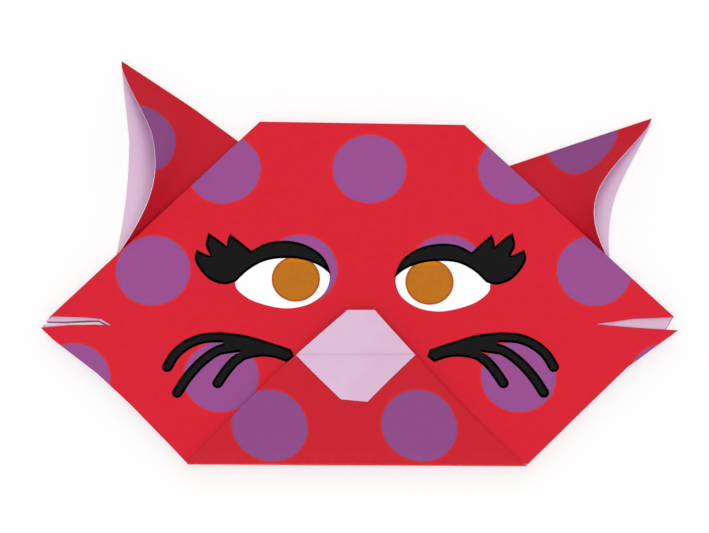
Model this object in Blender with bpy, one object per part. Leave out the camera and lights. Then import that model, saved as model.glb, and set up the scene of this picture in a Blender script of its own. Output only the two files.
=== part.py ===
"""Origami cat face, folded from one square sheet of printed paper.

The sheet is folded flat, step by step, and then drawn open where the paper springs.
Lengths are in millimetres until the mesh is built, which is in metres.
Folded plane: X to the right, Y to the top of the head, the printed face towards +Z.
"""
import math

import bmesh
import bpy
from mathutils import Vector

# Sheet
SHEET_WIDTH = 150.0
PAPER = 0.15
HALF = SHEET_WIDTH / 2.0 / math.sqrt(2.0)

# Layers: distance between neighbouring layers, step between nested folds, roundness of a fold
PITCH = 0.4
NEST = 0.32
BEND = 0.14


def spots(*shares):
    """Points of the folded plane from their shares of the half diagonal."""
    return tuple((x * HALF, y * HALF) for x, y in shares)


# Fold lines in the folded plane, each through two points
TOP_FOLD = spots((-0.3394, 0.6656), (0.3206, 0.6619))
CHIN_FOLD = spots((-0.5317, -0.4620), (0.5242, -0.4676))
NOSE_FOLD = spots((-0.2018, -0.1150), (0.1678, -0.1150))
NOSE_BLUNT = spots((-0.0943, -0.2508), (0.0075, -0.2602))
INNER_BLUNT = spots((-0.0754, 0.0283), (0.0754, 0.0283))
EAR_START = spots((0.0, 0.0867))[0]
EAR_TIPS = {"left": spots((-0.7429, 0.9032))[0], "right": spots((0.9108, 0.6996))[0]}

# How far each ear's closed edge and open edges are drawn round its tip, in degrees
EAR_DRAW = {"left": 9.5, "right": 14.0}
EAR_NARROW = {"left": 0.0, "right": -3.3}
EAR_REACH = {"left": 0.5374 * HALF, "right": 0.5185 * HALF}

# How far the open edges of an ear's back and front layers bow inwards, and the front layer rises
EAR_BACK = {"left": 0.0226 * HALF, "right": 0.0396 * HALF}
EAR_FRONT = {"left": 0.1169 * HALF, "right": 0.1018 * HALF}
EAR_RISE = {"left": 0.1226 * HALF, "right": 0.0943 * HALF}
EAR_FACET = 0.08 * HALF

# Spring of the chin flap away from the face, in degrees
CHIN_LIFT = 5.5

# Mouth corners: outlines of the slits, from the upper lip to the lower lip
MOUTH = {
    "left": spots(
        (-0.9617, 0.0273), (-0.8580, 0.0236), (-0.8070, 0.0189), (-0.7712, -0.0047),
        (-0.8221, 0.0000), (-0.8938, -0.0019), (-0.9937, -0.0104),
    ),
    "right": spots(
        (0.9692, 0.0283), (0.8485, 0.0189), (0.7825, 0.0085), (0.7203, 0.0019),
        (0.7920, -0.0057), (0.8768, -0.0132), (0.9541, -0.0179),
    ),
}
MOUTH_BACK = {
    "left": spots(
        (-0.9749, 0.0132), (-0.9164, 0.0094), (-0.8391, 0.0066), (-0.7844, -0.0019),
        (-0.8391, 0.0019), (-0.9164, 0.0028), (-0.9881, 0.0019),
    ),
}


def reflect(point, line):
    """Mirror a point of the plane across a line."""
    a, b = Vector(line[0]), Vector(line[1])
    along = (b - a).normalized()
    offset = Vector(point) - a
    foot = a + along * offset.dot(along)
    return tuple(2.0 * foot - Vector(point))


def side_of(point, line):
    """Distance of a point from a line, positive on its left."""
    a, b = Vector(line[0]), Vector(line[1])
    along = (b - a).normalized()
    offset = Vector(point) - a
    return along.x * offset.y - along.y * offset.x


def bisector(a, b):
    """Line that carries point a onto point b when the sheet is folded along it."""
    a, b = Vector(a), Vector(b)
    mid = (a + b) / 2.0
    span = b - a
    return tuple(mid), tuple(mid + Vector((-span.y, span.x)))


class Facet:
    """One flat region of the sheet: its outline on the sheet and where each corner lies."""

    def __init__(self, name, sheet, plane, level, up):
        self.name = name
        self.sheet = sheet
        self.plane = plane
        self.level = level
        self.up = up

    def split(self, line):
        """Cut along a line of the folded plane. Returns the part on its right and on its left."""
        parts = {-1: ([], []), 1: ([], [])}
        count = len(self.plane)
        for i in range(count):
            p, q = self.plane[i], self.plane[(i + 1) % count]
            s, t = self.sheet[i], self.sheet[(i + 1) % count]
            dp, dq = side_of(p, line), side_of(q, line)
            for sign in (-1, 1):
                if dp * sign >= -1e-6:
                    parts[sign][0].append(s)
                    parts[sign][1].append(p)
            if (dp > 1e-6 and dq < -1e-6) or (dp < -1e-6 and dq > 1e-6):
                k = dp / (dp - dq)
                cut_s = tuple(Vector(s).lerp(Vector(t), k))
                cut_p = tuple(Vector(p).lerp(Vector(q), k))
                for sign in (-1, 1):
                    parts[sign][0].append(cut_s)
                    parts[sign][1].append(cut_p)
        found = []
        for sign in (-1, 1):
            sheet, plane = parts[sign]
            real = len(plane) > 2 and max(sign * side_of(p, line) for p in plane) > 1e-4
            found.append(Facet(self.name, sheet, plane, self.level, self.up) if real else None)
        return found


def fold(facets, chosen, line, moving, rename, levels):
    """Fold the chosen facets along a line. The moving side (-1 right, 1 left) is turned over."""
    result = []
    for facet in facets:
        if facet.name not in chosen:
            result.append(facet)
            continue
        right, left = facet.split(line)
        stays, moves = (left, right) if moving < 0 else (right, left)
        if stays:
            result.append(stays)
        if moves:
            moves.plane = [reflect(p, line) for p in moves.plane]
            moves.up = not moves.up
            moves.name = rename + moves.name
            moves.level = levels[moves.name]
            result.append(moves)
    return result


def fold_cat():
    """Fold the square sheet into the cat, one step after another."""
    corner = 2.0 * HALF
    square = [(0.0, -HALF), (corner, HALF), (0.0, HALF + corner), (-corner, HALF)]
    facets = [Facet("face", square, list(square), 7, True)]
    facets = fold(facets, {"face"}, ((-1.0, HALF), (1.0, HALF)), 1, "under_", {"under_face": 6})
    both = {"face", "under_face"}
    sides = {
        "left": (((-HALF, 0.0), (0.0, HALF)), 1, (0.0, -HALF)),
        "right": (((HALF, 0.0), (0.0, HALF)), -1, (0.0, -HALF)),
    }
    for side, (line, moving, _) in sides.items():
        levels = {side + "_face": 4, side + "_under_face": 5}
        facets = fold(facets, both, line, moving, side + "_", levels)
    for side, (_, _, tip) in sides.items():
        flaps = {side + "_face", side + "_under_face"}
        levels = {"ear_" + side + "_face": 3, "ear_" + side + "_under_face": 0}
        crease = bisector(tip, EAR_TIPS[side])
        moving = 1 if side_of(tip, crease) > 0.0 else -1
        facets = fold(facets, flaps, crease, moving, "ear_", levels)
    flat = {f.name for f in facets if not f.name.startswith("ear_")}
    levels = {}
    for facet in facets:
        levels["top_" + facet.name] = 7 - facet.level
    facets = fold(facets, flat, TOP_FOLD, 1, "top_", levels)
    facets = fold(facets, both, CHIN_FOLD, -1, "chin_", {"chin_face": 8, "chin_under_face": 9})
    facets = fold(facets, {"chin_under_face"}, NOSE_FOLD, 1, "nose_", {"nose_chin_under_face": 10})
    facets = trim(facets, "nose_chin_under_face", NOSE_BLUNT, 1)
    return trim(facets, "chin_face", INNER_BLUNT, -1)


def trim(facets, name, line, keep):
    """Take the very tip off a facet, leaving the side named by keep."""
    result = []
    for facet in facets:
        if facet.name == name:
            right, left = facet.split(line)
            result.append(left if keep > 0 else right)
        else:
            result.append(facet)
    return result


def close(p, q):
    """True where two points of the sheet are the same."""
    return (Vector(p) - Vector(q)).length < 1e-3


def find_hinges(facets):
    """Pairs of facets that share an edge of the sheet: (facet, edge, facet, edge, flipped)."""
    hinges = []
    for i, a in enumerate(facets):
        for j in range(i + 1, len(facets)):
            b = facets[j]
            for m in range(len(a.sheet)):
                for n in range(len(b.sheet)):
                    a0, a1 = a.sheet[m], a.sheet[(m + 1) % len(a.sheet)]
                    b0, b1 = b.sheet[n], b.sheet[(n + 1) % len(b.sheet)]
                    if close(a0, b1) and close(a1, b0):
                        hinges.append((i, m, j, n))
    return hinges


def nest_depths(facets, hinges):
    """Inset of each folded edge, so that the folds that lie over each other stay nested."""
    lines = []
    for i, m, j, n in hinges:
        p = Vector(facets[i].plane[m])
        q = Vector(facets[i].plane[(m + 1) % len(facets[i].plane)])
        low, high = sorted((facets[i].level, facets[j].level))
        lines.append((p, q, low, high))
    depths = []
    for p, q, low, high in lines:
        depth = 0
        for r, s, below, above in lines:
            same = abs(side_of(r, (p, q))) < 0.02 and abs(side_of(s, (p, q))) < 0.02
            along = (q - p).normalized()
            overlap = min(max(along.dot(p), along.dot(q)), max(along.dot(r), along.dot(s)))
            overlap -= max(min(along.dot(p), along.dot(q)), min(along.dot(r), along.dot(s)))
            if same and overlap > 0.05 and below < low and above > high:
                depth += 1
        depths.append(depth * NEST + BEND)
    return depths


def inset_outline(plane, insets):
    """Move each edge of an outline inwards by its own distance."""
    count = len(plane)
    area = sum(plane[i][0] * plane[(i + 1) % count][1] - plane[(i + 1) % count][0] * plane[i][1] for i in range(count))
    turn = 1.0 if area > 0.0 else -1.0
    moved = []
    for i in range(count):
        a, b = Vector(plane[i]), Vector(plane[(i + 1) % count])
        along = (b - a).normalized()
        inward = Vector((-along.y, along.x)) * turn
        moved.append((a + inward * insets[i], along))
    outline = []
    for i in range(count):
        (p, u), (q, v) = moved[i - 1], moved[i]
        cross = u.x * v.y - u.y * v.x
        if abs(cross) < 1e-4:
            outline.append(tuple(q))
            continue
        gap = q - p
        k = (gap.x * v.y - gap.y * v.x) / cross
        outline.append(tuple(p + u * k))
    return outline


def cut_mouth(plane, cut):
    """Put a slit outline in place of the corner of the face at a side."""
    sign = 1.0 if cut[0][0] > 0.0 else -1.0
    corner = max(range(len(plane)), key=lambda i: sign * plane[i][0])
    points = list(cut) if plane[corner - 1][1] > plane[corner][1] else list(reversed(cut))
    return plane[:corner] + points + plane[corner + 1:], corner


def height(level):
    """Height of a layer's middle over the surface the cat lies on."""
    return PAPER / 2.0 + PITCH * level


def build_sheet():
    """Mesh of the folded sheet's middle surface, with every fold as a rounded strip."""
    facets = fold_cat()
    hinges = find_hinges(facets)
    depths = nest_depths(facets, hinges)
    mesh = bmesh.new()
    rings = []
    for index, facet in enumerate(facets):
        insets = [0.0] * len(facet.plane)
        for (i, m, j, n), depth in zip(hinges, depths):
            if i == index:
                insets[m] = depth
            if j == index:
                insets[n] = depth
        outline = inset_outline(facet.plane, insets)
        slots = {k: k for k in range(len(outline))}
        for side, sign in (("right", 1.0), ("left", -1.0)):
            reach = max(sign * p[0] for p in facet.plane)
            lies = abs(reach - HALF) < 0.3 and not facet.name.startswith(("ear", "top", "chin"))
            cut = MOUTH[side] if facet.name == "face" else MOUTH_BACK.get(side)
            if lies and cut:
                outline, corner = cut_mouth(outline, cut)
                added = len(cut) - 1
                slots = {k: (v if v <= corner else v + added) for k, v in slots.items()}
                slots[("after", corner)] = corner + added
        verts = [mesh.verts.new((p[0], p[1], height(facet.level))) for p in outline]
        mesh.faces.new(verts)
        rings.append((verts, slots, len(facet.plane)))
    for (i, m, j, n), depth in zip(hinges, depths):
        add_strip(mesh, facets, rings, (i, m), (j, n))
    bmesh.ops.recalc_face_normals(mesh, faces=mesh.faces[:])
    return mesh


def edge_ends(ring, edge):
    """Corner points of one edge of a facet, past any slit cut into its corner."""
    verts, slots, count = ring
    start = slots[edge]
    return verts[slots.get(("after", start), start)], verts[slots[(edge + 1) % count]]


def add_strip(mesh, facets, rings, first, second):
    """Join two facets by a half-round strip along their shared fold."""
    a0, a1 = edge_ends(rings[first[0]], first[1])
    b1, b0 = edge_ends(rings[second[0]], second[1])
    fold_a = facets[first[0]].plane[first[1]]
    fold_b = facets[first[0]].plane[(first[1] + 1) % len(facets[first[0]].plane)]
    middle = (Vector((a0.co.x, a0.co.y)) + Vector((a1.co.x, a1.co.y))) / 2.0
    reach = side_of(middle, (fold_a, fold_b))
    along = (Vector(fold_b) - Vector(fold_a)).normalized()
    outward = Vector((-along.y, along.x, 0.0)) * (-1.0 if reach > 0.0 else 1.0)
    rows = []
    for start, end in ((a0, b0), (a1, b1)):
        row = [start]
        for step in range(1, 4):
            angle = math.pi * step / 4.0
            share = (1.0 - math.cos(angle)) / 2.0
            row.append(mesh.verts.new(start.co.lerp(end.co, share) + outward * (BEND * math.sin(angle))))
        row.append(end)
        rows.append(row)
    for k in range(4):
        mesh.faces.new((rows[0][k], rows[1][k], rows[1][k + 1], rows[0][k + 1]))


def refine(mesh, longest):
    """Split long edges until every triangle is small enough to follow the paper's curves."""
    bmesh.ops.triangulate(mesh, faces=mesh.faces[:])
    for _ in range(6):
        long_edges = [e for e in mesh.edges if e.calc_length() > longest and outside(e)]
        if not long_edges:
            break
        bmesh.ops.subdivide_edges(mesh, edges=long_edges, cuts=1)
        bmesh.ops.triangulate(mesh, faces=mesh.faces[:])


def outside(edge):
    """True where an edge lies in an ear, the only part of the sheet that curves."""
    return any(ear_of(v.co) for v in edge.verts)


def ear_of(point):
    """Name of the ear a point of the folded sheet belongs to, or None."""
    if point.z > height(3) + 0.01 or point.z < height(0) - 0.01:
        return None
    for side, tip in EAR_TIPS.items():
        sign = -1.0 if side == "left" else 1.0
        crease = bisector((0.0, -HALF), tip)
        above = side_of(tip, crease) * side_of((point.x, point.y), crease) > 0.0
        if above and sign * point.x > 0.0 and beta_of(point, side) > -3.0 and beyond_top(point):
            return side
    return None


def beyond_top(point):
    """True outside the flap that the folded top of the head makes."""
    return abs(point.x) > abs(point.y - (2.0 * TOP_FOLD[0][1] - HALF)) + 0.4 or point.y < 2.0 * TOP_FOLD[0][1] - HALF


def beta_of(point, side):
    """Angle at the ear's tip between its closed edge and a point, in degrees."""
    tip = Vector(EAR_TIPS[side])
    closed = (Vector(EAR_START) - tip).normalized()
    offset = Vector((point.x, point.y)) - tip
    if offset.length < 1e-6:
        return 0.0
    sign = -1.0 if side == "left" else 1.0
    cross = closed.x * offset.y - closed.y * offset.x
    return math.degrees(math.atan2(sign * cross, closed.dot(offset)))


def smooth(value):
    """Ramp from 0 to 1 with level ends."""
    value = min(max(value, 0.0), 1.0)
    return value * value * (3.0 - 2.0 * value)


def draw_ear(point, side):
    """Move a point of an ear to where it lies once the ear is drawn open."""
    sign = -1.0 if side == "left" else 1.0
    tip = Vector(EAR_TIPS[side])
    offset = Vector((point.x, point.y)) - tip
    radius = offset.length
    beta = min(max(beta_of(point, side), 0.0), 45.0)
    share = beta / 45.0
    total = (Vector(EAR_START) - tip).length
    fade = 1.0 - smooth((radius - EAR_REACH[side]) / (total * 0.8 - EAR_REACH[side]))
    turn = (EAR_DRAW[side] * (1.0 - share) - EAR_NARROW[side] * share) * fade
    closed = (Vector(EAR_START) - tip).normalized()
    across = Vector((-closed.y, closed.x)) * sign
    angle = math.radians(beta - turn)
    plane = tip + closed * (radius * math.cos(angle)) + across * (radius * math.sin(angle))
    beyond = (abs(plane.x) + plane.y - HALF) / (abs(tip.x) + tip.y - HALF)
    run = min(max(1.0 - beyond, 0.0), 1.0)
    front = min(max((point.z - height(0)) / (3.0 * PITCH), 0.0), 1.0)
    swell = math.sin(math.pi * run ** 1.25) * share ** 1.4
    bow = EAR_BACK[side] + (EAR_FRONT[side] - EAR_BACK[side]) * front
    rise = EAR_RISE[side] * swell * front
    return Vector((plane.x - sign * bow * swell, plane.y - 0.25 * rise, point.z + rise))


def spring(mesh):
    """Open the ears and let the chin flap stand away from the face."""
    slope = math.tan(math.radians(CHIN_LIFT))
    for vert in mesh.verts:
        side = ear_of(vert.co)
        if side:
            vert.co = draw_ear(vert.co, side)
        elif vert.co.z > height(7) + 0.5 * PITCH:
            vert.co.z += slope * max(vert.co.y - CHIN_FOLD[0][1], 0.0)


def make_material():
    """Printed red paper."""
    material = bpy.data.materials.new("printed_paper")
    material.use_nodes = True
    shader = material.node_tree.nodes["Principled BSDF"]
    shader.inputs["Base Color"].default_value = (0.70, 0.022, 0.040, 1.0)
    shader.inputs["Roughness"].default_value = 0.55
    shader.inputs["Metallic"].default_value = 0.0
    return material


def main():
    """Build the folded sheet as one solid lying on its back."""
    for item in list(bpy.data.objects):
        bpy.data.objects.remove(item, do_unlink=True)
    mesh = build_sheet()
    refine(mesh, EAR_FACET)
    spring(mesh)
    low = [min(v.co[axis] for v in mesh.verts) for axis in range(3)]
    high = [max(v.co[axis] for v in mesh.verts) for axis in range(3)]
    centre = Vector(((low[0] + high[0]) / 2.0, (low[1] + high[1]) / 2.0, 0.0))
    for vert in mesh.verts:
        vert.co = (vert.co - centre) * 0.001
    data = bpy.data.meshes.new("folded_sheet")
    mesh.to_mesh(data)
    mesh.free()
    cat = bpy.data.objects.new("folded_sheet", data)
    bpy.context.scene.collection.objects.link(cat)
    data.materials.append(make_material())
    thicken = cat.modifiers.new("paper", "SOLIDIFY")
    thicken.thickness = PAPER * 0.001
    thicken.offset = 0.0
    thicken.use_even_offset = False
    thicken.thickness_clamp = 0.0


main()
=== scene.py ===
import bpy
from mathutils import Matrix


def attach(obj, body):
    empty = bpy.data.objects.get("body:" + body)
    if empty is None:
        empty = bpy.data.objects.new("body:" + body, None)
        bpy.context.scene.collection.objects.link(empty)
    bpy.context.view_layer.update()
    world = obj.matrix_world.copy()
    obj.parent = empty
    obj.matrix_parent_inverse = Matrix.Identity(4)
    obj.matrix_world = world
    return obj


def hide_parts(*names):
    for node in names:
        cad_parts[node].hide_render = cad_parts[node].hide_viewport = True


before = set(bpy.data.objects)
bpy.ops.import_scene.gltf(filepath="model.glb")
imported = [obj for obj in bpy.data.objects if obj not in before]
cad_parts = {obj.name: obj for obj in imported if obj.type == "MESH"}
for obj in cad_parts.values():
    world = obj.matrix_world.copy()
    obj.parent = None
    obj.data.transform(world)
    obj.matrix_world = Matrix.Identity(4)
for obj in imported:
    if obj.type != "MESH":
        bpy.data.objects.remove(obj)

"""Dressed view of a cat face folded from one square sheet of spotted paper.

Lengths are in millimetres until a mesh is made, which is in metres. The folded plane has
X to the right, Y to the top of the head and the printed face towards +Z.
"""
import logging
import math
from dataclasses import dataclass, field
from enum import Enum, IntEnum
from itertools import combinations
from typing import Any, Dict, List, Optional, Protocol, Sequence, Tuple

import bmesh
import bpy
from mathutils import Vector
from mathutils.geometry import intersect_point_line

LOG = logging.getLogger("paper_cat")
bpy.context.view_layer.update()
Point = Tuple[float, float]
Colour = Tuple[float, float, float, float]
Ends = Dict[int, Tuple[int, int]]

SHEET_WIDTH = 150.0
HALF = SHEET_WIDTH / 2.0 / math.sqrt(2.0)
CENTRE = (0.117, 11.506)
MM = 0.001
# Layers are counted from the back, and the flat ear's angle at its tip is in degrees.
FACE_LEVEL = 7
EAR_ANGLE = 45.0
# Lengths under which a difference is rounding, a strip has no width and two points are one.
NEAR = 1e-6
SLIVER = 1e-4
TOUCH = 1e-3


class Side(Enum):
    """Side of the face as the photograph shows it."""

    LEFT = "left"
    RIGHT = "right"

    @property
    def sign(self) -> float:
        """Direction of the side along X."""
        return -1.0 if self is Side.LEFT else 1.0

    @classmethod
    def of(cls, x: float) -> "Side":
        """Side on which a place across the face lies."""
        return cls.RIGHT if x > 0.0 else cls.LEFT


class Surface(Enum):
    """Material index of each kind of paper surface."""

    PRINTED = 0
    PLAIN = 1
    EDGE = 2


class Spring(IntEnum):
    """Springy parts of the folded sheet, as the numbers that mesh points carry."""

    NONE = 0
    LEFT_EAR = 1
    RIGHT_EAR = 2
    CHIN = 3

    @classmethod
    def of(cls, facet: str) -> "Spring":
        """Springy part that a facet of the given name belongs to.

        Args:
            facet: The facet's name.

        Returns:
            The part, or NONE.
        """
        if facet.startswith(("chin_", "nose_")):
            return cls.CHIN
        if not facet.startswith("ear_"):
            return cls.NONE
        return cls.LEFT_EAR if "left" in facet else cls.RIGHT_EAR


def spots(*shares: Point) -> Tuple[Point, ...]:
    """Points of the folded plane from their shares of the half diagonal."""
    return tuple((x * HALF, y * HALF) for x, y in shares)


def srgb(red: int, green: int, blue: int) -> Colour:
    """Linear colour from its eight-bit display values.

    Args:
        red: Red, 0 to 255.
        green: Green, 0 to 255.
        blue: Blue, 0 to 255.

    Returns:
        The colour with full alpha.
    """
    def linear(value: int) -> float:
        """Linear share of one display value."""
        share = value / 255.0
        return share / 12.92 if share <= 0.04045 else ((share + 0.055) / 1.055) ** 2.4
    return (linear(red), linear(green), linear(blue), 1.0)


def clamp(value: float) -> float:
    """The value kept from 0 to 1."""
    return min(max(value, 0.0), 1.0)


def smooth(value: float) -> float:
    """Ramp from 0 to 1 with level ends."""
    value = clamp(value)
    return value * value * (3.0 - 2.0 * value)


def sides(outline: List[Any]) -> List[Tuple[Any, Any]]:
    """Pairs of neighbours round a closed outline."""
    return list(zip(outline, outline[1:] + outline[:1]))


def place(x: float, y: float, z: float) -> Vector:
    """Point of the folded plane, in metres in the part's own frame."""
    return Vector(((x - CENTRE[0]) * MM, (y - CENTRE[1]) * MM, z * MM))


def mesh_data(name: str, mesh: bmesh.types.BMesh) -> bpy.types.Mesh:
    """Mesh data made from a finished bmesh, which is freed.

    Args:
        name: The data's name.
        mesh: The bmesh.

    Returns:
        The data.
    """
    data = bpy.data.meshes.new(name)
    mesh.to_mesh(data)
    mesh.free()
    return data


def put(name: str, data: Any) -> bpy.types.Object:
    """New object in the scene with the given mesh, lamp or camera data.

    Args:
        name: The object's name.
        data: What it shows.

    Returns:
        The object.
    """
    made = bpy.data.objects.new(name, data)
    bpy.context.scene.collection.objects.link(made)
    return made


@dataclass(frozen=True)
class FoldLine:
    """Straight fold through two points of the folded plane."""

    start: Point
    end: Point

    def along(self) -> Vector:
        """Unit direction of the fold."""
        return (Vector(self.end) - Vector(self.start)).normalized()

    def offset(self, point: Sequence[float]) -> float:
        """Distance of a point from the fold, positive on its left.

        Args:
            point: The point, of which only X and Y count.

        Returns:
            The distance.
        """
        along = self.along()
        span = Vector((point[0], point[1])) - Vector(self.start)
        return along.x * span.y - along.y * span.x

    def mirror(self, point: Sequence[float]) -> Point:
        """Place of a point once it is folded over.

        Args:
            point: The point before.

        Returns:
            The point after.
        """
        along = self.along()
        span = Vector((point[0], point[1])) - Vector(self.start)
        foot = Vector(self.start) + along * span.dot(along)
        turned = 2.0 * foot - Vector((point[0], point[1]))
        return (turned.x, turned.y)


def bisector(first: Point, second: Point) -> FoldLine:
    """Fold that carries the first point onto the second.

    Args:
        first: Point that moves.
        second: Place that it moves to.

    Returns:
        The fold.
    """
    a, b = Vector(first), Vector(second)
    mid, span = (a + b) / 2.0, b - a
    return FoldLine((mid.x, mid.y), (mid.x - span.y, mid.y + span.x))


@dataclass
class Facet:
    """One flat region of the sheet."""

    name: str
    sheet: List[Point]
    plane: List[Point]
    level: int

    def split(self, line: FoldLine) -> List[Optional["Facet"]]:
        """Cut the facet along a fold.

        Args:
            line: The fold.

        Returns:
            The parts on the right and on the left, each None where there is none.
        """
        parts: Dict[int, Tuple[List[Point], List[Point]]] = {-1: ([], []), 1: ([], [])}
        for (p, q), (s, t) in zip(sides(self.plane), sides(self.sheet)):
            dp, dq = line.offset(p), line.offset(q)
            for sign in (-1, 1):
                if dp * sign >= -NEAR:
                    parts[sign][0].append(s)
                    parts[sign][1].append(p)
            if min(dp, dq) < -NEAR and max(dp, dq) > NEAR:
                k = dp / (dp - dq)
                for sign in (-1, 1):
                    parts[sign][0].append(tuple(Vector(s).lerp(Vector(t), k)))
                    parts[sign][1].append(tuple(Vector(p).lerp(Vector(q), k)))
        found: List[Optional[Facet]] = []
        for sign in (-1, 1):
            sheet, plane = parts[sign]
            real = len(plane) > 2 and max(sign * line.offset(p) for p in plane) > SLIVER
            found.append(Facet(self.name, sheet, plane, self.level) if real else None)
        return found


@dataclass(frozen=True)
class EarShape:
    """How one ear is folded and drawn open.

    Attributes:
        side: Side of the face.
        tip: Where the flap's corner is folded to.
        draw: Turn of the closed edge away from the open one, in degrees.
        widen: Turn of the open edge away from the closed one, in degrees.
        reach: Length from the tip that turns in full.
        back_bow: How far the back layer's open edge bows towards the head's middle.
        front_bow: How far the front layer's open edge does.
        rise: How far the front layer's open edge rises.
        tip_shift: How far the tip moves.
        start: Lower end of the closed edge.
        turn_end: Share of the closed edge's length from the tip where nothing turns any more.
        tip_length: Length from the tip that moves with it.
        peak: Power that moves the highest place of the bow along the ear.
        edge_bias: Power that keeps the bow near the open edge.
        lean: Share of the rise by which the ear leans down the picture.
    """

    side: Side
    tip: Point
    draw: float
    widen: float
    reach: float
    back_bow: float
    front_bow: float
    rise: float
    tip_shift: Point
    start: Point = (0.0, 0.0867 * HALF)
    turn_end: float = 0.8
    tip_length: float = 14.0
    peak: float = 1.25
    edge_bias: float = 1.4
    lean: float = 0.25

    def crease(self) -> FoldLine:
        """Fold that turns the flap's corner up into the ear."""
        return bisector((0.0, -HALF), self.tip)

    def angle_at(self, point: Sequence[float]) -> float:
        """Angle at the tip between the closed edge and a point, in degrees.

        Args:
            point: The point, of which only X and Y count.

        Returns:
            The angle, positive towards the open edge.
        """
        tip = Vector(self.tip)
        closed = (Vector(self.start) - tip).normalized()
        span = Vector((point[0], point[1])) - tip
        if span.length < NEAR:
            return 0.0
        cross = closed.x * span.y - closed.y * span.x
        return math.degrees(math.atan2(self.side.sign * cross, closed.dot(span)))

    def draw_open(self, point: Vector, front: float) -> Vector:
        """Place of a point of the flat ear once the ear is open.

        Args:
            point: The point in the flat ear.
            front: 1 on the ear's front layer, 0 on its back layer.

        Returns:
            The point in the open ear.
        """
        sign = self.side.sign
        tip = Vector(self.tip)
        radius = (Vector((point.x, point.y)) - tip).length
        beta = min(max(self.angle_at(point), 0.0), EAR_ANGLE)
        share = beta / EAR_ANGLE
        total = (Vector(self.start) - tip).length
        fade = 1.0 - smooth((radius - self.reach) / (total * self.turn_end - self.reach))
        turn = (self.draw * (1.0 - share) - self.widen * share) * fade
        closed = (Vector(self.start) - tip).normalized()
        across = Vector((-closed.y, closed.x)) * sign
        angle = math.radians(beta - turn)
        plane = tip + closed * (radius * math.cos(angle)) + across * (radius * math.sin(angle))
        plane += Vector(self.tip_shift) * max(1.0 - radius / self.tip_length, 0.0)
        beyond = (abs(plane.x) + plane.y - HALF) / (abs(tip.x) + tip.y - HALF)
        swell = math.sin(math.pi * clamp(1.0 - beyond) ** self.peak) * share ** self.edge_bias
        bow = self.back_bow + (self.front_bow - self.back_bow) * front
        rise = self.rise * swell * front
        return Vector((plane.x - sign * bow * swell, plane.y - self.lean * rise, point.z + rise))


EARS = (
    EarShape(Side.LEFT, spots((-0.7429, 0.9032))[0], draw=9.5, widen=0.0, reach=0.5374 * HALF,
             back_bow=0.0226 * HALF, front_bow=0.1169 * HALF, rise=0.1205 * HALF, tip_shift=(-1.1, -0.02)),
    EarShape(Side.RIGHT, spots((0.9108, 0.6996))[0], draw=14.0, widen=-3.3, reach=0.5185 * HALF,
             back_bow=0.0396 * HALF, front_bow=0.1018 * HALF, rise=0.0943 * HALF, tip_shift=(0.9, 0.3)),
)


class Value:
    """A shader number that can be used in Python expressions."""

    def __init__(self, tree: "ShaderTree", socket: Any) -> None:
        """Wrap a node's socket."""
        self.tree = tree
        self.socket = socket

    def _math(self, operation: str, *values: Any) -> "Value":
        """Add a Math node and return its result.

        Args:
            operation: What the node does.
            values: Values or numbers that it works on.

        Returns:
            The result.
        """
        links = {i: v.socket if isinstance(v, Value) else v for i, v in enumerate(values)}
        made = self.tree.node("ShaderNodeMath", {"operation": operation}, links)
        return Value(self.tree, made.outputs[0])

    def __add__(self, other: Any) -> "Value":
        """Sum."""
        return self._math("ADD", self, other)

    __radd__ = __add__

    def __sub__(self, other: Any) -> "Value":
        """Difference."""
        return self._math("SUBTRACT", self, other)

    def __rsub__(self, other: Any) -> "Value":
        """Difference from a number."""
        return self._math("SUBTRACT", other, self)

    def __mul__(self, other: Any) -> "Value":
        """Product."""
        return self._math("MULTIPLY", self, other)

    def __truediv__(self, other: Any) -> "Value":
        """Quotient."""
        return self._math("DIVIDE", self, other)

    def root(self) -> "Value":
        """Square root."""
        return self._math("SQRT", self)

    def fraction(self) -> "Value":
        """Part after the point."""
        return self._math("FRACT", self)

    def least(self, other: Any) -> "Value":
        """The smaller of two."""
        return self._math("MINIMUM", self, other)

    def most(self, other: Any) -> "Value":
        """The larger of two."""
        return self._math("MAXIMUM", self, other)

    def step(self, low: float, high: float) -> "Value":
        """Smooth rise from 0 at low to 1 at high.

        Args:
            low: Value where the rise starts.
            high: Value where it ends.

        Returns:
            The rise.
        """
        settings = {"interpolation_type": "SMOOTHSTEP"}
        made = self.tree.node("ShaderNodeMapRange", settings, {0: self.socket, 1: low, 2: high})
        return Value(self.tree, made.outputs[0])


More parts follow.
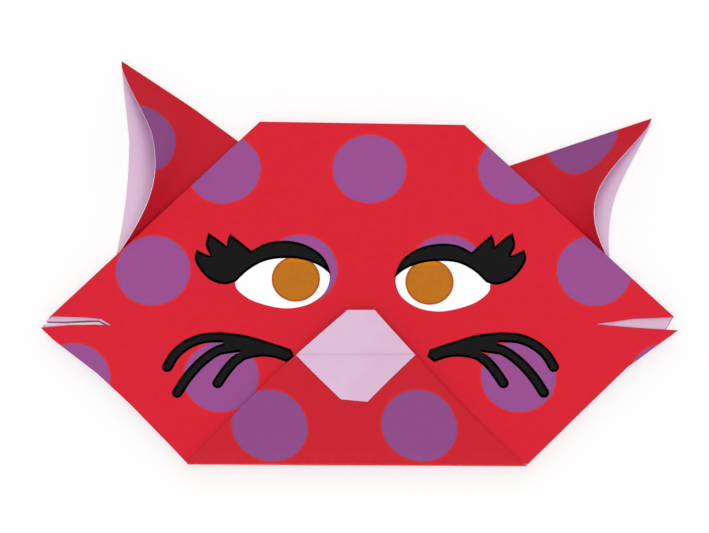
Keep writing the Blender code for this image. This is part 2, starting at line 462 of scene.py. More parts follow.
class ShaderTree:
    """Builds the nodes of one material."""

    def __init__(self, name: str) -> None:
        """Start a material of the given name."""
        self.material = bpy.data.materials.new(name)
        self.material.use_nodes = True
        self.tree = self.material.node_tree
        self.shader = self.tree.nodes["Principled BSDF"]

    def node(self, kind: str, settings: Dict[str, Any], inputs: Dict[Any, Any]) -> Any:
        """Add a node.

        Args:
            kind: The node's type.
            settings: Its properties, set first.
            inputs: Values or sockets, by input name or number.

        Returns:
            The node.
        """
        made = self.tree.nodes.new(kind)
        for key, value in settings.items():
            setattr(made, key, value)
        for key, value in inputs.items():
            target = made.inputs[key]
            if isinstance(value, bpy.types.NodeSocket):
                self.tree.links.new(value, target)
            else:
                target.default_value = value
        return made

    def mix(self, factor: Any, first: Any, second: Any) -> Any:
        """Blend two colours and return the colour socket.

        Args:
            factor: Share of the second colour.
            first: Colour or socket.
            second: Colour or socket.

        Returns:
            The socket of the blend.
        """
        link = factor.socket if isinstance(factor, Value) else factor
        made = self.node("ShaderNodeMix", {"data_type": "RGBA"}, {0: link, 6: first, 7: second})
        return made.outputs[2]

    def scaled(self, colour: Any, share: float) -> Any:
        """Colour socket made darker, down to a share of what it was."""
        settings = {"operation": "SCALE"}
        return self.node("ShaderNodeVectorMath", settings, {0: colour, "Scale": share}).outputs[0]

    def noise(self, scale: float, detail: float = 3.0, rough: float = 0.6) -> Value:
        """Noise over the part's own coordinates.

        Args:
            scale: Cells in a metre.
            detail: Number of finer layers.
            rough: Share that the finer layers keep.

        Returns:
            The noise, from 0 to 1.
        """
        where = self.node("ShaderNodeTexCoord", {}, {}).outputs["Object"]
        inputs = {"Vector": where, "Scale": scale, "Detail": detail, "Roughness": rough}
        return Value(self, self.node("ShaderNodeTexNoise", {}, inputs).outputs[0])

    def print_place(self) -> Tuple[Value, Value]:
        """Place on the print, in millimetres across and up.

        Returns:
            The place across and the place up.
        """
        layer = self.node("ShaderNodeUVMap", {"uv_map": "print"}, {})
        parts = self.node("ShaderNodeSeparateXYZ", {}, {0: layer.outputs[0]})
        return Value(self, parts.outputs[0]), Value(self, parts.outputs[1])

    def worked(self, name: str) -> Value:
        """Value that the mesh carries under a name, from 0 to 1."""
        return Value(self, self.node("ShaderNodeAttribute", {"attribute_name": name}, {}).outputs[2])

    def finish(self, colour: Any, roughness: Any, height: Optional[Value], depth: float,
               gloss: float = 0.1) -> bpy.types.Material:
        """Connect colour, roughness and relief to the shader.

        Args:
            colour: Colour socket or plain colour.
            roughness: Value or number.
            height: Relief, or None.
            depth: Relief's height in metres.
            gloss: How much of the surroundings the surface mirrors.

        Returns:
            The material.
        """
        self.shader.inputs["Specular IOR Level"].default_value = gloss
        for name, value in (("Base Color", colour), ("Roughness", roughness)):
            value = value.socket if isinstance(value, Value) else value
            if isinstance(value, bpy.types.NodeSocket):
                self.tree.links.new(value, self.shader.inputs[name])
            else:
                self.shader.inputs[name].default_value = value
        if height is not None:
            inputs = {"Height": height.socket, "Distance": depth, "Strength": 0.6}
            bump = self.node("ShaderNodeBump", {}, inputs)
            self.tree.links.new(bump.outputs[0], self.shader.inputs["Normal"])
        return self.material


class Finish(Protocol):
    """Anything that makes a material."""

    def make(self) -> bpy.types.Material:
        """Build the material."""


@dataclass(frozen=True)
class PrintedPaper:
    """Red print with staggered purple dots, each with a blue rim and an orange halo.

    Attributes:
        red: Colour between the dots.
        dot: Colour of a dot.
        rim: Colour just inside a dot's edge.
        halo: Colour just outside it.
        worn: Colour of worn folds.
        pitch: Distance between dots in a row.
        row: Half the distance between rows that stand square to each other.
        stagger: Place of the rows between them.
        radius: Radius of a dot.
        blur: Half the width of its soft edge.
        rim_fade: Distances from the edge between which the rim comes up.
        halo_fade: Distances from the edge between which the halo goes.
        relief: Height of the paper's grain, in metres.
    """

    red: Colour = srgb(218, 33, 51)
    dot: Colour = srgb(155, 80, 147)
    rim: Colour = srgb(134, 84, 158)
    halo: Colour = srgb(224, 44, 34)
    worn: Colour = srgb(226, 74, 70)
    pitch: float = 24.36
    row: float = 18.45
    stagger: Point = (-11.5, 18.85)
    radius: float = 6.12
    blur: float = 0.06
    rim_fade: Point = (-0.55, -0.1)
    halo_fade: Point = (0.15, 0.6)
    relief: float = 0.00003

    def make(self) -> bpy.types.Material:
        """Build the material.

        Returns:
            The material.
        """
        tree = ShaderTree("printed_side")
        u, v = tree.print_place()
        distance = self.lattice(u, v).least(self.lattice(u - self.stagger[0], v - self.stagger[1]))
        inside = 1.0 - distance.step(self.radius - self.blur, self.radius + self.blur)
        rim = inside * distance.step(*(self.radius + fade for fade in self.rim_fade))
        halo = (1.0 - inside) * (1.0 - distance.step(*(self.radius + fade for fade in self.halo_fade)))
        mottle = tree.noise(900.0, 4.0, 0.7)
        fibre = tree.noise(4200.0, 2.0, 0.5)
        base = tree.mix(halo * 0.8, self.red, self.halo)
        base = tree.mix(inside, base, self.dot)
        base = tree.mix(rim * 0.8, base, self.rim)
        base = tree.mix(mottle.step(0.35, 0.75) * 0.5, base, tree.scaled(base, 0.93))
        # Painted shade: the chin flap and the ears carry a share by which their print is drawn darker.
        base = tree.mix(tree.worked("tone"), base, tree.scaled(base, 0.8))
        wear = tree.worked("crease") * tree.noise(2500.0).step(0.42, 0.62)
        base = tree.mix(wear * 0.35, base, self.worn)
        return tree.finish(base, 0.5 + mottle * 0.12, fibre * 0.7 + mottle * 0.5, self.relief)

    def lattice(self, u: Value, v: Value) -> Value:
        """Distance to the nearest dot centre of one of the two square-set rows.

        Args:
            u: Place across the print, from a dot centre of that row.
            v: Place up the print, from the same centre.

        Returns:
            The distance.
        """
        across = ((u / self.pitch + 0.5).fraction() - 0.5) * self.pitch
        up = ((v / (2.0 * self.row) + 0.5).fraction() - 0.5) * (2.0 * self.row)
        return (across * across + up * up).root()


@dataclass(frozen=True)
class PlainPaper:
    """Pale pink reverse of the sheet, with painted shadow deep inside an open ear and painted light along
    its open edge.
    """

    pale: Colour = srgb(222, 190, 214)
    deep: Colour = srgb(208, 170, 202)
    ear_edge: Colour = srgb(224, 196, 218)
    ear_painted_shadow: Colour = srgb(197, 150, 189)
    relief: float = 0.00003

    def make(self) -> bpy.types.Material:
        """Build the material.

        Returns:
            The material.
        """
        tree = ShaderTree("plain_side")
        cloud = tree.noise(140.0, 3.0, 0.55)
        fibre = tree.noise(3600.0, 3.0, 0.6)
        base = tree.mix(cloud.step(0.35, 0.7) * 0.35, self.pale, self.deep)
        base = tree.mix(fibre.step(0.45, 0.8) * 0.25, base, self.deep)
        # Painted shade and light inside an open ear: the ear mask runs from 0.5 deep in, painted shadow, to
        # 1 along the open edge, painted light.
        ear_mask_and_shade = tree.worked("open")
        ear = tree.mix(ear_mask_and_shade.step(0.5, 1.0), self.ear_painted_shadow, self.ear_edge)
        base = tree.mix(ear_mask_and_shade.step(0.2, 0.4), base, ear)
        return tree.finish(base, 0.62 + fibre * 0.1, fibre, self.relief)


@dataclass(frozen=True)
class CutEdge:
    """Edge of the paper, pale where an ear stands open and tinted by the print elsewhere."""

    pale: Colour = srgb(226, 200, 220)
    tinted: Colour = srgb(198, 74, 92)
    relief: float = 0.00002

    def make(self) -> bpy.types.Material:
        """Build the material.

        Returns:
            The material.
        """
        tree = ShaderTree("cut_edge")
        fibre = tree.noise(5000.0, 2.0, 0.5)
        # Inside an ear the factor is the same ramp that paints shade on the plain side, so the edge turns
        # more tinted deeper in.
        base = tree.mix(tree.worked("open"), self.tinted, self.pale)
        return tree.finish(base, 0.6 + fibre * 0.1, fibre, self.relief)


@dataclass(frozen=True)
class InkGrain:
    """Fine grain that all inks of the face share."""

    roughness: float = 0.48
    relief: float = 0.00002

    @staticmethod
    def shaded(tree: ShaderTree, colour: Colour, shade: float) -> Tuple[Any, Value]:
        """Colour with darker grains.

        Args:
            tree: The ink's nodes.
            colour: The ink's colour.
            shade: Share of the colour that the darkest grains keep.

        Returns:
            The colour socket and the grain.
        """
        grain = tree.noise(1500.0, 3.0, 0.6)
        deep = tuple(c * shade for c in colour[:3]) + (1.0,)
        return tree.mix(grain.step(0.4, 0.75) * 0.6, colour, deep), grain

    def finish(self, tree: ShaderTree, base: Any, grain: Value, gloss: float) -> bpy.types.Material:
        """Material of an ink from its nodes, colour, grain and gloss."""
        return tree.finish(base, self.roughness + grain * 0.1, grain, self.relief, gloss)


@dataclass(frozen=True)
class Ink:
    """One printed ink of the face."""

    name: str
    colour: Colour
    shade: float = 0.8
    gloss: float = 0.1

    def make(self) -> bpy.types.Material:
        """Build the material.

        Returns:
            The material.
        """
        tree = ShaderTree(self.name)
        base, grain = InkGrain.shaded(tree, self.colour, self.shade)
        return InkGrain().finish(tree, base, grain, self.gloss)


@dataclass(frozen=True)
class IrisInk:
    """Amber ink, brighter right under the lashes."""

    name: str
    lid: float
    amber: Colour = srgb(191, 114, 26)
    bright: Colour = srgb(214, 120, 5)
    shade: float = 0.9
    lid_fade: Point = (-0.25, 0.15)
    gloss: float = 0.1

    def make(self) -> bpy.types.Material:
        """Build the material.

        Returns:
            The material.
        """
        tree = ShaderTree(self.name)
        where = tree.node("ShaderNodeTexCoord", {}, {}).outputs["Object"]
        parts = tree.node("ShaderNodeSeparateXYZ", {}, {0: where})
        up = Value(tree, parts.outputs[1]) / MM + CENTRE[1]
        base, grain = InkGrain.shaded(tree, self.amber, self.shade)
        base = tree.mix(up.step(*(self.lid + fade for fade in self.lid_fade)), base, self.bright)
        return InkGrain().finish(tree, base, grain, self.gloss)


@dataclass
class FoldedSheet:
    """The square sheet, folded into the cat.

    Attributes:
        paper: Thickness of the paper.
        pitch: Height from layer to layer.
        nest: Distance between folds that lie round one another.
        tight: Height from layer to layer above the chin's lower layer.
        bend: How far a fold bulges out.
        bend_steps: Flat strips in each fold.
        chin_lift: Angle at which the chin flap stands away, in degrees.
        chin_drift: How far the chin flap's middle lies to the left.
        drift_from: Height on the face where the drift starts.
        drift_length: Height over which it comes and goes.
        bottom_rise: How far the bottom fold is raised.
        rise_fade: Height over which that fades out.
        edge_reach: How near to the face's lower edge a point counts as on it.
        slit_reach: Height up to which the lower edge goes.
        level_gap: Least height between two points of a hollow edge.
        creep_from: How far the layers behind stay in behind the face's edge.
        creep_share: Further share of their depth behind the face.
        creep_ends: How far over the bottom fold and under the slits that starts and stops.
        on_line: How near to a fold another one counts as on the same line.
        overlap: Least length that two folds on one line share.
        corner_gap: How near to the mouth corner a facet has to reach to be slit.
        painted_light_edge: Share of an ear's angle where the painted light along its open edge starts, and
            the share that it takes.
        sharp_from: Angle from which an edge is sharp, in degrees.
        print_origin: Place on the sheet from which the print is measured.
        curve_mesh: Longest mesh edge in each springy part.
        top_fold: Two points of the fold at the top of the head.
        chin_fold: Two points of the fold at the bottom.
        nose_fold: Two points of the fold at the top of the nose.
        nose_blunt: Two points of the line where the nose ends.
        inner_blunt: Two points of the line where the chin's lower layer ends, behind the nose.
        mouth: Slit in the face at each mouth corner, along one lip in and along the other out.
        mouth_back: The same slits in the layers behind.
        hollow: Heights on the lower edges, each with how far the edge is drawn in there.
        painted_shades: Painted shade of a facet, how much darker its print is drawn, from 0 to 1.
        print_at: A dot's centre on each facet where the print has its own place.
    """

    paper: float = 0.15
    pitch: float = 0.4
    nest: float = 0.32
    tight: float = 0.165
    bend: float = 0.1406
    bend_steps: int = 6
    chin_lift: float = 5.5
    chin_drift: float = 1.1
    drift_from: float = -27.0
    drift_length: float = 30.0
    bottom_rise: float = 0.5
    rise_fade: float = 8.0
    edge_reach: float = 1.5
    slit_reach: float = 1.0
    level_gap: float = 1.0
    creep_from: float = 0.1
    creep_share: float = 0.342
    creep_ends: Point = (2.0, 1.0)
    on_line: float = 0.02
    overlap: float = 0.05
    corner_gap: float = 0.3
    painted_light_edge: Point = (0.68, 0.25)
    sharp_from: float = 38.0
    print_origin: Point = (1.5, 27.45)
    curve_mesh: Dict[Spring, float] = field(default_factory=lambda: {
        Spring.LEFT_EAR: 1.7, Spring.RIGHT_EAR: 1.7, Spring.CHIN: 5.0,
    })
    top_fold: Tuple[Point, ...] = spots((-0.3394, 0.6825), (0.3206, 0.6710))
    chin_fold: Tuple[Point, ...] = spots((-0.5317, -0.4620), (0.5242, -0.4676))
    nose_fold: Tuple[Point, ...] = spots((-0.2018, -0.1150), (0.1678, -0.1150))
    nose_blunt: Tuple[Point, ...] = spots((-0.0943, -0.2508), (0.0075, -0.2602))
    inner_blunt: Tuple[Point, ...] = spots((-0.0754, 0.0283), (0.0754, 0.0283))
    mouth: Dict[Side, Tuple[Point, ...]] = field(default_factory=lambda: {
        Side.LEFT: spots((-0.9617, 0.0273), (-0.8580, 0.0236), (-0.8070, 0.0189), (-0.7712, -0.0047),
                         (-0.8221, 0.0), (-0.8938, -0.0019), (-0.9937, -0.0104)),
        Side.RIGHT: spots((0.9725, 0.0243), (0.8485, 0.0189), (0.7825, 0.0085), (0.7203, 0.0019),
                          (0.7920, -0.0057), (0.8768, -0.0125), (0.9860, -0.0195)),
    })
    mouth_back: Dict[Side, Tuple[Point, ...]] = field(default_factory=lambda: {
        Side.LEFT: spots((-0.9749, 0.0115), (-0.9164, 0.0115), (-0.8500, 0.0150), (-0.8150, 0.0155),
                         (-0.7790, -0.0040), (-0.8391, 0.0000), (-0.9164, 0.0028), (-0.9881, 0.0010)),
        Side.RIGHT: spots((0.9720, 0.0280), (0.9450, -0.0170), (0.9785, -0.0215)),
    })
    hollow: Dict[Side, Tuple[Point, ...]] = field(default_factory=lambda: {
        Side.LEFT: spots((-0.05, 0.0), (-0.16, 0.028), (-0.26, 0.031), (-0.46, 0.010)),
        Side.RIGHT: spots((-0.03, 0.0), (-0.14, 0.038), (-0.46, 0.026)),
    })
    # Painted shade of the chin flap and the ears, drawn into their print.
    painted_shades: Dict[str, float] = field(default_factory=lambda: {
        "chin_under_face": 0.85, "ear_left_face": 0.95, "ear_right_face": 0.95,
    })
    print_at: Dict[str, Point] = field(default_factory=lambda: {
        "chin_under_face": (-13.95, -18.05),
        "ear_left_face": (-41.1, 33.2),
        "ear_right_face": (37.8, 31.3),
    })

    def height(self, level: float) -> float:
        """Height of a layer's middle over the floor."""
        loose = FACE_LEVEL + 1
        return self.paper / 2.0 + self.pitch * min(level, loose) + self.tight * max(level - loose, 0)

    def face_top(self) -> float:
        """Height of the face's printed surface."""
        return self.height(FACE_LEVEL) + self.paper / 2.0

    def turn_over(self, facets: List[Facet], chosen: Sequence[str], line: FoldLine, moving: int,
                  prefix: str, levels: Dict[str, int]) -> List[Facet]:
        """Fold chosen facets along a line.

        Args:
            facets: All facets.
            chosen: Names of those that are folded.
            line: The fold.
            moving: The side that is turned over, -1 right or 1 left.
            prefix: What the turned part's name starts with.
            levels: Layer of each turned part, by name.

        Returns:
            The facets after the fold.
        """
        result: List[Facet] = []
        for facet in facets:
            if facet.name not in chosen:
                result.append(facet)
                continue
            right, left = facet.split(line)
            stays, moves = (left, right) if moving < 0 else (right, left)
            if stays:
                result.append(stays)
            if moves:
                moves.plane = [line.mirror(p) for p in moves.plane]
                moves.name = prefix + moves.name
                moves.level = levels[moves.name]
                result.append(moves)
        return result

    def fold_flat(self) -> List[Facet]:
        """Fold the square sheet flat, one step after another.

        Returns:
            The facets of the folded sheet.
        """
        corner = 2.0 * HALF
        square = [(0.0, -HALF), (corner, HALF), (0.0, HALF + corner), (-corner, HALF)]
        facets = [Facet("face", square, list(square), FACE_LEVEL)]
        diagonal = FoldLine((-1.0, HALF), (1.0, HALF))
        facets = self.turn_over(facets, ["face"], diagonal, 1, "under_", {"under_face": FACE_LEVEL - 1})
        both = ["face", "under_face"]
        for ear in EARS:
            name = ear.side.value + "_"
            slope = FoldLine((ear.side.sign * HALF, 0.0), (0.0, HALF))
            moving = 1 if ear.side is Side.LEFT else -1
            levels = {name + "face": 4, name + "under_face": 5}
            facets = self.turn_over(facets, both, slope, moving, name, levels)
        for ear in EARS:
            name = ear.side.value + "_"
            moving = 1 if ear.crease().offset((0.0, -HALF)) > 0.0 else -1
            levels = {"ear_" + name + "face": 3, "ear_" + name + "under_face": 0}
            flaps = [name + "face", name + "under_face"]
            facets = self.turn_over(facets, flaps, ear.crease(), moving, "ear_", levels)
        flat = [f.name for f in facets if not f.name.startswith("ear_")]
        levels = {"top_" + f.name: FACE_LEVEL - f.level for f in facets}
        facets = self.turn_over(facets, flat, FoldLine(*self.top_fold), 1, "top_", levels)
        levels = {"chin_face": FACE_LEVEL + 1, "chin_under_face": FACE_LEVEL + 2}
        facets = self.turn_over(facets, both, FoldLine(*self.chin_fold), -1, "chin_", levels)
        levels = {"nose_chin_under_face": FACE_LEVEL + 3}
        facets = self.turn_over(facets, ["chin_under_face"], FoldLine(*self.nose_fold), 1, "nose_", levels)
        for index, facet in enumerate(facets):
            if facet.name == "nose_chin_under_face":
                facets[index] = facet.split(FoldLine(*self.nose_blunt))[1]
            if facet.name == "chin_face":
                facets[index] = facet.split(FoldLine(*self.inner_blunt))[0]
        return facets

    @staticmethod
    def hinges(facets: List[Facet]) -> List[Tuple[int, int, int, int]]:
        """Pairs of facet edges that are one edge of the sheet.

        Args:
            facets: The folded facets.

        Returns:
            For each pair, the two facets' numbers, each with its edge's number after it.
        """
        edges = [sides([Vector(p) for p in facet.sheet]) for facet in facets]
        found = []
        for i, j in combinations(range(len(facets)), 2):
            for m, (a0, a1) in enumerate(edges[i]):
                for n, (b0, b1) in enumerate(edges[j]):
                    if (a0 - b1).length < TOUCH and (a1 - b0).length < TOUCH:
                        found.append((i, m, j, n))
        return found

    def depths(self, facets: List[Facet], hinges: List[Tuple[int, int, int, int]]) -> List[float]:
        """Inset of each fold that keeps it inside the folds that lie round it.

        Args:
            facets: The folded facets.
            hinges: The folds between them.

        Returns:
            The inset of each fold.
        """
        lines = []
        for i, m, j, _ in hinges:
            low, high = sorted((facets[i].level, facets[j].level))
            lines.append((FoldLine(*sides(facets[i].plane)[m]), low, high))
        result = []
        for line, low, high in lines:
            along = line.along()
            span = sorted((along.dot(Vector(line.start)), along.dot(Vector(line.end))))
            depth = 0
            for other, below, above in lines:
                same = max(abs(line.offset(other.start)), abs(line.offset(other.end))) < self.on_line
                reach = sorted((along.dot(Vector(other.start)), along.dot(Vector(other.end))))
                shared = min(span[1], reach[1]) - max(span[0], reach[0])
                if same and shared > self.overlap and below < low and above > high:
                    depth += 1
            result.append(depth * self.nest + self.bend)
        return result

    @staticmethod
    def inset(plane: List[Point], insets: List[float]) -> List[Point]:
        """Move each edge of an outline inwards by its own distance.

        Args:
            plane: The outline.
            insets: The distance of each edge.

        Returns:
            The moved outline.
        """
        pairs = sides(plane)
        turn = 1.0 if sum(p[0] * q[1] - q[0] * p[1] for p, q in pairs) > 0.0 else -1.0
        moved = []
        for (p, q), depth in zip(pairs, insets):
            along = (Vector(q) - Vector(p)).normalized()
            moved.append((Vector(p) + Vector((-along.y, along.x)) * turn * depth, along))
        outline = []
        for (p, u), (q, v) in zip(moved[-1:] + moved[:-1], moved):
            cross = u.x * v.y - u.y * v.x
            gap = q - p
            point = q if abs(cross) < SLIVER else p + u * ((gap.x * v.y - gap.y * v.x) / cross)
            outline.append((point.x, point.y))
        return outline

    def cut_mouth(self, facet: Facet, outline: List[Point]) -> Tuple[List[Point], Ends]:
        """Open the slit in each mouth corner of a facet.

        Args:
            facet: The facet.
            outline: Its inset outline.

        Returns:
            The outline with its slits, and the points where each corner ends and starts.
        """
        ends = {k: (k, k) for k in range(len(outline))}
        for side in (Side.RIGHT, Side.LEFT):
            reach = max(side.sign * p[0] for p in facet.plane)
            if abs(reach - HALF) >= self.corner_gap or facet.name.startswith(("ear", "top", "chin")):
                continue
            cut = (self.mouth if facet.name == "face" else self.mouth_back)[side]
            corner = max(range(len(outline)), key=lambda i: side.sign * outline[i][0])
            points = list(cut) if outline[corner - 1][1] > outline[corner][1] else list(reversed(cut))
            outline = outline[:corner] + points + outline[corner + 1:]
            added = len(points) - 1
            ends = {key: (first + added * (first > corner), last + added * (last >= corner))
                    for key, (first, last) in ends.items()}
        return outline, ends

    def drawn_in(self, x: float, y: float) -> float:
        """How far the lower edge is drawn in at a point's height.

        Args:
            x: The point's place across the face, for its side.
            y: Its height on the face.

        Returns:
            The distance across the face.
        """
        steps = self.hollow[Side.of(x)]
        if y >= steps[0][0]:
            return 0.0
        for (y0, d0), (y1, d1) in zip(steps, steps[1:]):
            if y >= y1:
                return d0 + (d1 - d0) * (y - y0) / (y1 - y0)
        return steps[-1][1]

    def on_lower_edge(self, point: Point) -> bool:
        """Whether a point lies on the face's lower edge, below the slits."""
        return point[1] < self.slit_reach and HALF - abs(point[0]) + point[1] < self.edge_reach

    def draw_edges_in(self, outline: List[Point], ends: Ends,
                      tip_level: Optional[float]) -> Tuple[List[Point], Ends]:
        """Make a facet's lower edges slightly hollow below the slits.

        Args:
            outline: The facet's outline.
            ends: The points where each corner ends and starts.
            tip_level: Height above which a turned up facet stays as wide as it was, or None.

        Returns:
            The same two with hollow edges.
        """
        result: List[Point] = []
        index = []
        for (x, y), (next_x, next_y) in sides(outline):
            index.append(len(result))
            here, there = self.on_lower_edge((x, y)), self.on_lower_edge((next_x, next_y))
            result.append((x - math.copysign(self.drawn_in(x, y), x), y) if here else (x, y))
            levels: List[float] = []
            if here and there:
                levels = [level for level, _ in self.hollow[Side.of(x)]]
            elif here != there and tip_level is not None:
                levels = [tip_level]
            for level in sorted(levels, reverse=y > next_y):
                gap = min(level - min(y, next_y), max(y, next_y) - level)
                if gap > self.level_gap and x * next_x > 0.0:
                    across = x + (next_x - x) * (level - y) / (next_y - y)
                    depth = self.drawn_in(x, level) if here and there else 0.0
                    result.append((across - math.copysign(depth, x), level))
        return result, {k: (index[first], index[last]) for k, (first, last) in ends.items()}

    def print_uv(self, facet: Facet, point: Vector) -> Point:
        """Place on the print of a point of a facet, in millimetres.

        Args:
            facet: The facet.
            point: The point on the folded plane.

        Returns:
            The place on the print.
        """
        centre = self.print_at.get(facet.name)
        if centre:
            return (point.x - centre[0], point.y - centre[1])
        a, b, c = (Vector(facet.plane[i]) for i in range(3))
        s, t, r = (Vector(facet.sheet[i]) for i in range(3))
        e, f, g = b - a, c - a, Vector((point.x, point.y)) - a
        area = e.x * f.y - e.y * f.x
        p, q = (g.x * f.y - g.y * f.x) / area, (e.x * g.y - e.y * g.x) / area
        where = s + (t - s) * p + (r - s) * q
        return (where.x - self.print_origin[0], where.y - self.print_origin[1])

    def middle_surface(self) -> bmesh.types.BMesh:
        """Middle surface of the folded sheet, with its print places and worked folds.

        Returns:
            The open mesh, its printed side up on the face.
        """
        facets = self.fold_flat()
        hinges = self.hinges(facets)
        depths = self.depths(facets, hinges)
        mesh = bmesh.new()
        mesh.loops.layers.uv.new("print")
        for name in ("crease", "tone", "open"):
            mesh.verts.layers.float.new(name)
        mesh.verts.layers.int.new("spring")
        rings = []
        for index, facet in enumerate(facets):
            insets = [0.0] * len(facet.plane)
            for (i, m, j, n), depth in zip(hinges, depths):
                if i == index:
                    insets[m] = depth
                if j == index:
                    insets[n] = depth
            rings.append(self.lay_facet(mesh, facet, insets))
        for i, m, j, n in hinges:
            # The two facets run along their common edge in opposite directions.
            (a0, a1), (b1, b0) = sides(rings[i])[m], sides(rings[j])[n]
            fold = FoldLine(*sides(facets[i].plane)[m])
            self.bend_strip(mesh, (facets[i], facets[j]), fold, ((a0[1], b0[0]), (a1[0], b1[1])))
        bmesh.ops.recalc_face_normals(mesh, faces=mesh.faces[:])
        mesh.faces.ensure_lookup_table()
        if mesh.faces[0].normal.z < 0.0:
            bmesh.ops.reverse_faces(mesh, faces=mesh.faces[:])
        return mesh

    def lay_facet(self, mesh: bmesh.types.BMesh, facet: Facet, insets: List[float]) -> List[Tuple[Any, Any]]:
        """Add a facet to the mesh.

        Args:
            mesh: The mesh.
            facet: The facet.
            insets: How far each of its edges is drawn in for its fold.

        Returns:
            For each corner, the points where the edge before it ends and the edge after it starts.
        """
        outline, ends = self.cut_mouth(facet, self.inset(facet.plane, insets))
        if not facet.name.startswith("ear"):
            tip_level = self.nose_fold[0][1] if facet.name == "chin_face" else None
            outline, ends = self.draw_edges_in(outline, ends, tip_level)
        verts = [mesh.verts.new((x, y, self.height(facet.level))) for x, y in outline]
        for vert in verts:
            vert[mesh.verts.layers.int["spring"]] = Spring.of(facet.name)
            vert[mesh.verts.layers.float["open"]] = float(facet.name.startswith("ear_"))
            # Painted shade: the share by which this facet's print is drawn darker.
            vert[mesh.verts.layers.float["tone"]] = self.painted_shades.get(facet.name, 0.0)
        self.print_face(mesh, mesh.faces.new(verts), facet)
        return [(verts[first], verts[last]) for _, (first, last) in sorted(ends.items())]

    def print_face(self, mesh: bmesh.types.BMesh, made: bmesh.types.BMFace, facet: Facet) -> None:
        """Give a mesh face the print of a facet.

        Args:
            mesh: The mesh.
            made: Its face.
            facet: The facet that the face belongs to.
        """
        layer = mesh.loops.layers.uv["print"]
        for loop in made.loops:
            loop[layer].uv = self.print_uv(facet, loop.vert.co)

    def bend_strip(self, mesh: bmesh.types.BMesh, pair: Tuple[Facet, Facet], fold: FoldLine,
                   runs: Tuple[Tuple[Any, Any], Tuple[Any, Any]]) -> None:
        """Join two facets by a rounded fold.

        Args:
            mesh: The mesh.
            pair: The two facets.
            fold: The fold between them.
            runs: At each end of the fold, the points of the first and the second facet.
        """
        spring = mesh.verts.layers.int["spring"]
        along = fold.along()
        inside = fold.offset((runs[0][0].co + runs[1][0].co) / 2.0) > 0.0
        outward = Vector((-along.y, along.x, 0.0)) * (-1.0 if inside else 1.0)
        rows = []
        for start, end in runs:
            row = [start]
            for step in range(1, self.bend_steps):
                angle = math.pi * step / self.bend_steps
                straight = start.co.lerp(end.co, (1.0 - math.cos(angle)) / 2.0)
                vert = mesh.verts.new(straight + outward * (self.bend * math.sin(angle)))
                vert[mesh.verts.layers.float["crease"]] = 1.0
                vert[spring] = start[spring] if start[spring] == end[spring] else Spring.NONE
                row.append(vert)
            rows.append(row + [end])
        for step in range(self.bend_steps):
            corners = (rows[0][step], rows[1][step], rows[1][step + 1], rows[0][step + 1])
            self.print_face(mesh, mesh.faces.new(corners), pair[2 * step // self.bend_steps])

    def refine(self, mesh: bmesh.types.BMesh) -> None:
        """Split long edges of the springy parts so that the mesh follows their curves.

        Args:
            mesh: The mesh.
        """
        spring = mesh.verts.layers.int["spring"]
        bmesh.ops.triangulate(mesh, faces=mesh.faces[:])
        for _ in range(8):
            edges = [e for e in mesh.edges if all(v[spring] for v in e.verts)
                     and e.calc_length() > self.curve_mesh[e.verts[0][spring]]]
            if not edges:
                break
            bmesh.ops.subdivide_edges(mesh, edges=edges, cuts=1)
            for vert in mesh.verts:
                if not vert[spring]:
                    near = {e.other_vert(vert)[spring] for e in vert.link_edges}
                    if len(near) == 1 and Spring.NONE not in near:
                        vert[spring] = near.pop()
            bmesh.ops.triangulate(mesh, faces=mesh.faces[:])

    def spring_open(self, mesh: bmesh.types.BMesh) -> None:
        """Open the ears and let the chin flap stand away from the face.

        Args:
            mesh: The mesh.
        """
        spring = mesh.verts.layers.int["spring"]
        ear_mask_and_shade = mesh.verts.layers.float["open"]
        slope = math.tan(math.radians(self.chin_lift))
        bottom = self.chin_fold[0][1]
        painted_light_from, painted_light_width = self.painted_light_edge
        for vert in mesh.verts:
            if vert[spring] in (Spring.LEFT_EAR, Spring.RIGHT_EAR):
                # An ear's front layer lies three layers over its back one.
                front = clamp((vert.co.z - self.height(0)) / (3.0 * self.pitch))
                ear = EARS[vert[spring] - 1]
                # Painted light near the back layer's open edge and painted shadow deeper in, where the front
                # layer would shade it, both carried by the ear mask.
                pale = clamp((ear.angle_at(vert.co) / EAR_ANGLE - painted_light_from) / painted_light_width)
                vert[ear_mask_and_shade] = 0.5 + 0.5 * max(front, pale)
                vert.co = ear.draw_open(vert.co, front)
                self.creep(vert)
            elif vert.co.z < self.height(FACE_LEVEL - 1.5):
                self.creep(vert)
            elif vert.co.z > self.height(FACE_LEVEL + 0.5):
                vert.co.z += slope * max(vert.co.y - bottom, 0.0)
                run = clamp((vert.co.y - self.drift_from) / self.drift_length)
                vert.co.x -= self.chin_drift * math.sin(math.pi * run)
            vert.co.y += self.bottom_rise * clamp(1.0 - (vert.co.y - bottom) / self.rise_fade)

    def creep(self, vert: bmesh.types.BMVert) -> None:
        """Draw a back layer's lower edge in behind the edge of the face.

        Args:
            vert: A point of the layer.
        """
        depth = self.height(FACE_LEVEL) - vert.co.z
        limit = HALF - self.drawn_in(*vert.co.xy) - self.creep_from - self.creep_share * depth
        over = abs(vert.co.x) - vert.co.y - limit
        if over > 0.0 and self.chin_fold[0][1] + self.creep_ends[0] < vert.co.y < -self.creep_ends[1]:
            vert.co.x -= math.copysign(over / 2.0, vert.co.x)
            vert.co.y += over / 2.0

